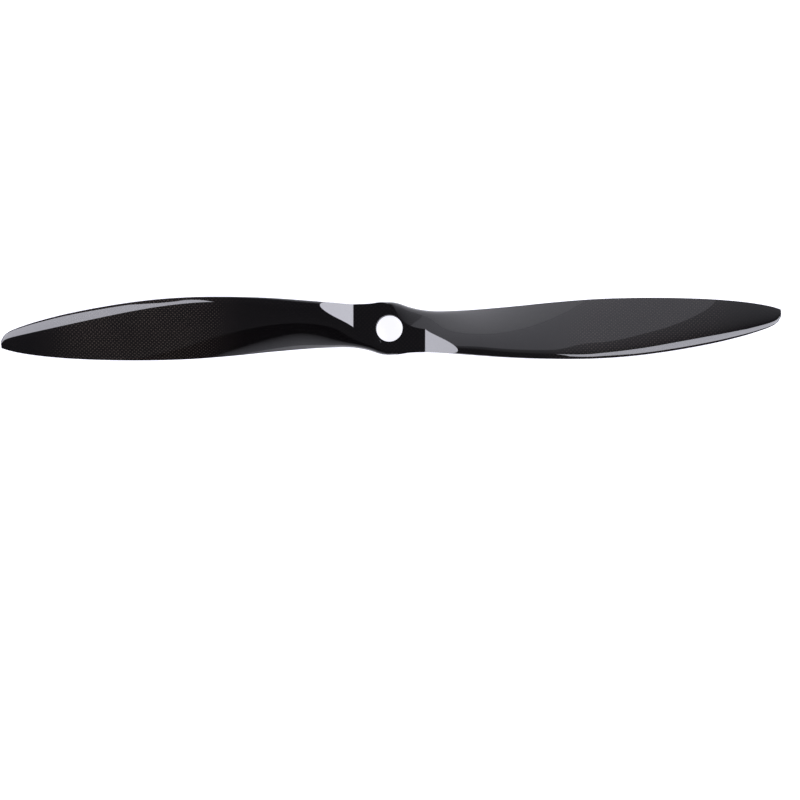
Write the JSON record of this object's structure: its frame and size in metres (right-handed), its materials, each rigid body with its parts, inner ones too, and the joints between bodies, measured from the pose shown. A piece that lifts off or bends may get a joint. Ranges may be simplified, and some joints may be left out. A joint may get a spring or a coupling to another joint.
{
  "type": "propeller",
  "caption": "Fixed-pitch moulded carbon propeller with twisted, cambered blades, a plain through bore and flat clamping pads on the hub.",
  "frame": {"origin": "centre of the shaft bore in the plane of the back clamping pad", "axes": "+Z along the shaft axis towards the front (cambered, thrust) side; X along the blades from tip to tip; +Y completes the right-handed frame. Blade A is the one on +X and has its leading edge towards -Y"},
  "size_m": [0.5588, 0.0446, 0.0351],
  "materials": {
    "carbon_weave": "clear-coated black woven carbon laminate",
    "unidirectional_carbon": "satin unidirectional carbon laminate",
    "carbon_moulding": "matt compressed carbon and epoxy",
    "foam_core": "closed-cell foam",
    "dense_foam": "dense closed-cell structural foam",
    "carbon_tow": "resin-soaked carbon tow"
  },
  "bodies": {
    "root": {"front_skin": "carbon_weave", "back_skin": "carbon_weave", "front_spar_cap": "unidirectional_carbon", "back_spar_cap": "unidirectional_carbon", "hub_block": "carbon_moulding", "blade_a_spar_core": "dense_foam", "blade_a_nose_core": "foam_core", "blade_a_tail_core": "foam_core", "blade_a_leading_edge_tow": "carbon_tow", "blade_a_trailing_edge_tow": "carbon_tow", "blade_b_spar_core": "dense_foam", "blade_b_nose_core": "foam_core", "blade_b_tail_core": "foam_core", "blade_b_leading_edge_tow": "carbon_tow", "blade_b_trailing_edge_tow": "carbon_tow"}
  },
  "joints": []
}
